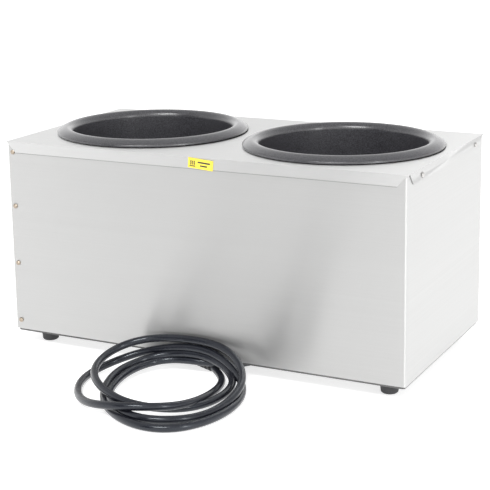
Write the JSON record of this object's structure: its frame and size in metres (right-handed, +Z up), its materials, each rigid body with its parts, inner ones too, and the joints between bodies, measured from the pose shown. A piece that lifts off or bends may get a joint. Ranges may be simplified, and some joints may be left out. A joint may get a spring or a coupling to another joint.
{
  "type": "countertop food warmer",
  "caption": "Low brushed-steel countertop warmer with deep round wells side by side, rubber feet, knobs on the front and a coiled mains lead at the rear.",
  "frame": {"origin": "on the support plane under the middle of the cabinet with its knobs, the lead left out", "axes": "+Z up, -Y towards the control side, +Y towards the plain rear, +X along the row of wells"},
  "size_m": [0.5726, 0.5145, 0.2909],
  "materials": {
    "stainless": "brushed lengthwise",
    "screw_steel": "plain",
    "sticker": "satin vinyl",
    "black_rubber": "matt",
    "nonstick": "satin non-stick coating",
    "heater_steel": "dull",
    "wool": "mineral wool",
    "brass": "plain",
    "phenolic": "moulded phenolic",
    "dial": "dark anodised",
    "copper": "copper tube",
    "wire": "silicone insulation",
    "amber": "clear amber",
    "cord_jacket": "satin"
  },
  "bodies": {
    "cabinet": {"body_wrapper": "stainless", "top_deck": "stainless", "base_pan": "stainless", "seam_screw_1": "screw_steel", "seam_screw_2": "screw_steel", "seam_screw_3": "screw_steel", "seam_screw_4": "screw_steel", "deck_screw_1": "screw_steel", "deck_screw_2": "screw_steel", "deck_screw_3": "screw_steel", "deck_screw_4": "screw_steel", "foot_screw_1": "screw_steel", "foot_screw_2": "screw_steel", "foot_screw_3": "screw_steel", "foot_screw_4": "screw_steel", "heat_label": "sticker", "foot_1": "black_rubber", "foot_2": "black_rubber", "foot_3": "black_rubber", "foot_4": "black_rubber", "well_right": "nonstick", "well_left": "nonstick", "heater_plate_right": "heater_steel", "heater_plate_left": "heater_steel", "heater_bracket_right": "heater_steel", "heater_bracket_left": "heater_steel", "insulation_right": "wool", "insulation_left": "wool", "high_limit_right": "brass", "high_limit_left": "brass", "thermostat_body_right": "phenolic", "thermostat_body_left": "phenolic", "dial_plate_right": "dial", "dial_plate_left": "dial", "bush_nut_right": "screw_steel", "bush_nut_left": "screw_steel", "sensing_bulb_right": "copper", "sensing_bulb_left": "copper", "heater_lead_right": "wire", "heater_lead_left": "wire", "pilot_body_right": "phenolic", "pilot_body_left": "phenolic", "pilot_lens_right": "amber", "pilot_lens_left": "amber", "terminal_block": "phenolic", "ground_stud": "screw_steel", "supply_lead": "cord_jacket", "strain_relief": "black_rubber", "cord_start": "cord_jacket", "cord_coil": "cord_jacket", "cord_end": "cord_jacket", "plug_body": "black_rubber", "plug_blade_1": "brass", "plug_blade_2": "brass", "plug_ground_pin": "brass"},
    "knob_right": {"knob_right": "phenolic", "thermostat_shaft_right": "screw_steel"},
    "knob_left": {"knob_left": "phenolic", "thermostat_shaft_left": "screw_steel"}
  },
  "joints": [
    {"name": "knob_turn_right", "type": "hinge", "parent": "cabinet", "child": "knob_right", "pos_m": [-0.142, -0.1305, 0.056], "axis": [0, -1, 0], "range_deg": [-270, 0]},
    {"name": "knob_turn_left", "type": "hinge", "parent": "cabinet", "child": "knob_left", "pos_m": [0.142, -0.1305, 0.056], "axis": [0, -1, 0], "range_deg": [-270, 0]}
  ]
}
